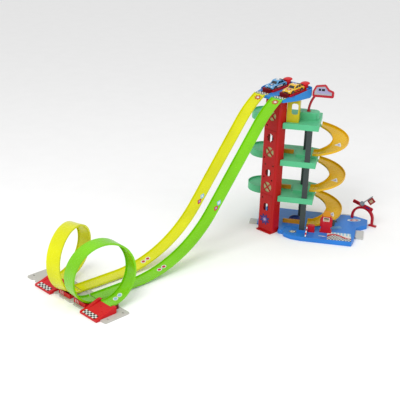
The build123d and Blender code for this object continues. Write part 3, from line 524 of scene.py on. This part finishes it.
for car, trim in (("yellow_car", "red"), ("blue_car", "white")):
    front = Vector(joints[f"{car}_front_spin"]["pos_m"]) / MM
    rear = Vector(joints[f"{car}_rear_spin"]["pos_m"]) / MM
    along = (rear - front).normalized()
    up = Vector((-along.z, 0, along.x))
    origin = (front + rear) / 2 - up * WHEEL_R

    def at(a, b, y, origin=origin, along=along, up=up):
        return origin + along * a + up * b + side_dir * y

    for way, hand in HANDS:
        decal(f"{car}_side_glass_{hand}",
              flat_place(at(10, 26.75, way * GLASS_Y), along, up, 56, 11.5),
              side_window, (70, 20), car)
    for start, end, word in (((-17.2, 21.2), (-5.2, 30.6), "windscreen"),
                             ((36.8, 21.4), (24.8, 30.6), "rear_glass")):
        low, high = at(start[0], start[1], 0), at(end[0], end[1], 0)
        lift = side_dir.cross((high - low).normalized())
        lift = lift if lift.dot(up) > 0 else -lift
        decal(f"{car}_{word}",
              flat_place((low + high) / 2 + lift * 0.25, side_dir, (high - low).normalized(),
                         28, (high - low).length * 0.86),
              lambda u, v: "glass" if abs(2 * u - 1) < 1 - 0.16 * v else None, (40, 16), car)

    def flank(u, v):
        a, b = -40 + 80 * u, 10 + 7 * v
        if math.hypot(abs(a) - AXLE_HALF, b - WHEEL_R) < 11.4:
            return None
        return trim if v < 0.55 + 0.4 * math.sin(3 * u) else None

    for way, hand in HANDS:
        decal(f"{car}_flank_{hand}", flat_place(at(0, 13.5, way * FLANK_Y), along, up, 80, 7),
              flank, (80, 14), car)
    decal(f"{car}_roof_roundel", flat_place(at(10, 33.65, 0), along, side_dir, 13, 18),
          roundel((0.55, trim), (0.95, "white")), (30, 30), car)
    hood = Vector(at(-16, 22, 0)) - Vector(at(-38, 19, 0))
    hood_up = hood.normalized().cross(side_dir)
    hood_up = hood_up if hood_up.dot(up) > 0 else -hood_up
    decal(f"{car}_hood_print", flat_place(at(-28, 20.5, 0) + hood_up * 0.3, hood.normalized(),
                                          side_dir, 17, 26),
          burst(5, 0.3, (0.42, "white"), (1, trim if trim == "red" else "navy")), (34, 50), car)
    for way, hand in reversed(HANDS):
        y = way * 12.5
        smooth_piece(f"{car}_headlamp_{hand}", ring_outline(7.5, 4.6), 1.5,
                     (at(-42.6, 16.6, y), side_dir, (along * 0.8 + up * 0.6)), [ink["lamp"]], car,
                     0.5)
        smooth_piece(f"{car}_tail_lamp_{hand}", ring_outline(8, 3.4), -0.9,
                     (at(45.4, 14.5, y), side_dir, up), [ink["red"]], car, 0.35)
    smooth_piece(f"{car}_spoiler", [(-17, -2.4), (17, -2.4), (17, 2.4), (-17, 2.4)], 1.8,
                 (at(41.5, 26.4, 0), side_dir, (along * 0.96 + up * 0.2)), [paints["car_chassis"]],
                 car, 0.6)
    for way, hand in reversed(HANDS):
        smooth_piece(f"{car}_spoiler_strut_{hand}",
                     [(-1.6, -3.6), (1.6, -3.6), (2.4, 3.6), (-1.0, 3.6)], 1.6,
                     (at(40.6, 23.6, way * 11), along, up), [paints["car_chassis"]], car, 0.3)
    decal(f"{car}_grille", flat_place(at(-46.3, 11.2, 0), side_dir, up, 20, 4.4),
          lambda u, v: "black" if int(u * 11) % 2 else "silver", (44, 6), car)

    for end, pos in (("front", front), ("rear", rear)):
        for way, hand in HANDS:
            decal(f"{car}_{end}_hub_{hand}",
                  flat_place(pos + side_dir * (way * HUB_Y), along, up, 2 * WHEEL_R, 2 * WHEEL_R),
                  hub, (40, 40), f"{car}_{end}_axle")

# ---- sign, pump, arch and flag details ----
SIGN_LEFT, SIGN_LOW = 18, 594
SIGN_WIDTH, SIGN_HEIGHT = 72, 40
ARCH_TURN = GARAGE_TURN - 21
BANNER_TILT = math.radians(-14)
sign_origin = garage(141, 84, 0)
sign_face = -V * 5.2


def sign_place(u, v):
    return (sign_origin + U * (SIGN_LEFT + SIGN_WIDTH * u)
            + UP * (SIGN_LOW + SIGN_HEIGHT * v) + sign_face)


def sign_inset(u, v):
    """A generic car's outline with dark windows on a pale ground."""
    x, z = SIGN_LEFT + SIGN_WIDTH * u, SIGN_LOW + SIGN_HEIGHT * v
    roof = 630 if 30 < x < 62 else 630 - 14 * (abs(x - 46) - 16) / 18
    if z < 597 or z > roof + 3 or x > 88:
        return None
    if 603 < z < roof - 2 and 26 < x < 84:
        if 614 < z < 624 and (34 < x < 44 or 47 < x < 60):
            return "black"
        return "lilac"
    return "silver"


decal("sign_inset", sign_place, sign_inset, (90, 50))
pump = garage(258, 32, 0)
decal("pump_display", flat_place(pump - V * 13.25 + UP * 78, U, UP, 26, 18),
      lambda u, v: "black" if 0.1 < u < 0.9 and 0.55 < v < 0.85 else
      ("sand" if 0.08 < u < 0.92 and 0.08 < v < 0.92 else "white"), (40, 30))
decal("pump_panel", flat_place(pump - V * 11.3 + UP * 60, U, UP, 34, 22),
      lambda u, v: "orange" if math.hypot(2 * u - 1, 2 * v - 1) < 0.7 else None, (40, 30))
arch_turn = math.radians(ARCH_TURN)
arch_x = Vector((math.cos(arch_turn), math.sin(arch_turn), 0))
arch_out = Vector((math.sin(arch_turn), -math.cos(arch_turn), 0))
arch_origin = garage(406, 205, 0)
banner_along = arch_x * math.cos(BANNER_TILT) + UP * math.sin(BANNER_TILT)
banner_up = UP * math.cos(BANNER_TILT) - arch_x * math.sin(BANNER_TILT)
decal("banner_print",
      flat_place(arch_origin + arch_out * 11.5 + UP * 90, banner_along, banner_up, 90, 11),
      lambda u, v: ("navy" if 0.68 < u < 0.88 and 0.2 < v < 0.8 else
                    "black" if u < 0.3 and 0.1 < v < 0.9 and int(u * 40 + v * 3) % 2 else None),
      (120, 24))
decal("disc_print", flat_place(arch_origin - arch_x * 2 + arch_out * 15.6 + UP * 100, arch_x, UP,
                               21, 21),
      roundel((0.55, "navy"), (0.72, "sky"), (0.98, "silver")), (40, 40))
flag_along = (arch_x + UP).normalized()
flag_across = (arch_x - UP).normalized()
flag_middle = arch_origin + arch_x * 39.3 + UP * 120.9
decal("flag_print", flat_place(flag_middle + arch_out * 18.0, flag_along, flag_across, 22, 16),
      lambda u, v: "sand" if 0.12 < u < 0.88 and 0.12 < v < 0.88 else None, (30, 24), "flag")


# ---- launch tray, thumb levers and the navy hump on the base ----
LEVER_X = 146
TONGUE_X = -2.6
lever = Vector(joints["lever_near_press"]["pos_m"]) / MM
grade = math.radians(4.5)
up_slope = Vector((math.cos(grade), 0, math.sin(grade)))
rise_dir = Vector((-math.sin(grade), 0, math.cos(grade)))
liner = Vector((lever.x, TOWER_MIDDLE_Y, lever.z)) + up_slope * 2 - rise_dir * 4.6
decal("tray_rear_liner", flat_place(liner, up_slope, ACROSS, 22, 176),
      lambda u, v: "navy", (4, 24))
tray_at_lever = lever.z - 5 * math.cos(grade)


def tray_spot(x, y, rise=0.0):
    """Point on the tray's sloping floor, lifted square to it."""
    return Vector((x, y, tray_at_lever + (x - LEVER_X) * math.tan(grade))) + rise_dir * rise


tongue_outline = [(-11, -27.5), (9.5, -27.5), (11, -25), (11, 25), (9.5, 27.5), (-11, 27.5)]
for side, colour, word in ((-1, "track_lime", "green"), (1, "track_yellow", "yellow")):
    smooth_piece(f"{word}_track_tongue", tongue_outline, 1.5,
                 (tray_spot(TONGUE_X, LANE_Y[side]), up_slope, ACROSS), [paints[colour]], ROOT, 0.4)
    decal(f"{word}_start_chequer",
          flat_place(tray_spot(TONGUE_X, LANE_Y[side], 1.75), up_slope, ACROSS, 19, 52),
          chequer(3, 8), (21, 64))


def paddle(name, lane_y):
    """Leaf-shaped thumb paddle with a crowned top; its stem down to the pin is a separate piece."""
    bm = bmesh.new()
    rings, spokes = 10, 40
    outline = ring_outline(36, 41, 2.3, spokes)
    for skin in (1, -1):
        rows = []
        for k in range(rings + 1):
            share = k / rings
            crown = 4.6 * math.sqrt(max(0.0, 1 - share ** 2.4)) * (1 if skin > 0 else 0.7)
            row = []
            for a, b in outline:
                lift = 23 + skin * crown + 0.09 * a * share - 1.2 * (b * share / 20) ** 2
                spot = (tray_spot(LEVER_X, lane_y) + up_slope * (13 + a * share)
                        + Vector((0, b * share, 0)) + rise_dir * lift)
                row.append(bm.verts.new(spot * MM))
            rows.append(row)
        for near, far in zip(rows, rows[1:]):
            for k in range(spokes):
                m = (k + 1) % spokes
                bm.faces.new((near[k], near[m], far[m], far[k]))
    bmesh.ops.remove_doubles(bm, verts=bm.verts, dist=0.00002)
    bmesh.ops.recalc_face_normals(bm, faces=bm.faces)
    for face in bm.faces:
        face.smooth = True
    return new_object(name, bm, [paints["ramp_red"]], name.replace("_paddle", ""))


stem_outline = [(-5, 1.6), (5.5, 1.6), (11, 14), (13, 20), (-3, 20), (-5, 14)]
for side, word in ((-1, "near"), (1, "far")):
    leaf = paddle(f"lever_{word}_paddle", LANE_Y[side])
    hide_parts(f"launch_lever_{word}")
    smooth_piece(f"lever_{word}_stem", stem_outline, 36,
                 (tray_spot(LEVER_X, LANE_Y[side] + 18), up_slope, rise_dir),
                 [paints["ramp_red"]], f"lever_{word}", 1.2)
bm = bmesh.new()
bmesh.ops.create_uvsphere(bm, u_segments=32, v_segments=16, radius=1)
for vert in bm.verts:
    x, y, z = vert.co
    vert.co = (garage(117, 134, 18) + U * (27 * x) + V * (17 * y) + UP * (17 * max(z, -0.02))) * MM
for face in bm.faces:
    face.smooth = True
new_object("base_hump", bm, [ink["navy"]], ROOT)

# ---- stage, light and camera ----
floor_bm = bmesh.new()
bmesh.ops.create_grid(floor_bm, x_segments=2, y_segments=2, size=9)
floor_mesh = bpy.data.meshes.new("floor")
floor_bm.to_mesh(floor_mesh)
floor_bm.free()
floor = bpy.data.objects.new("floor", floor_mesh)
floor.location.z = -0.0005
floor_mesh.materials.append(plastic("floor_paper", (253, 253, 253), 0.9, drift=0.01, gain=1.0))
bpy.context.scene.collection.objects.link(floor)

world = bpy.data.worlds.new("studio")
bpy.context.scene.world = world
world.use_nodes = True
world.node_tree.nodes["Background"].inputs["Color"].default_value = (1, 1, 1, 1)
world.node_tree.nodes["Background"].inputs["Strength"].default_value = 0.78


def area_light(name, place, target, size, power):
    data = bpy.data.lights.new(name, "AREA")
    data.size = size
    data.energy = power
    obj = bpy.data.objects.new(name, data)
    obj.location = place
    obj.rotation_euler = (Vector(target) - Vector(place)).to_track_quat("-Z", "Y").to_euler()
    bpy.context.scene.collection.objects.link(obj)


area_light("key", (-2.2, -0.6, 2.6), (-0.3, 0, 0.3), 1.6, 42)
area_light("fill", (0.8, -2.6, 1.6), (0, 0, 0.3), 2.0, 12)

camera_data = bpy.data.cameras.new("camera")
camera_data.sensor_width = 36
camera_data.lens = 76.32
camera = bpy.data.objects.new("camera", camera_data)
camera.matrix_world = Matrix(((0.7086, 0.2436, -0.6622, -2.574),
                              (-0.7049, 0.2873, -0.6485, -2.129),
                              (0.0323, 0.9263, 0.3753, 1.482),
                              (0, 0, 0, 1)))
bpy.context.scene.collection.objects.link(camera)
bpy.context.scene.camera = camera
bpy.context.scene.view_settings.view_transform = "Standard"
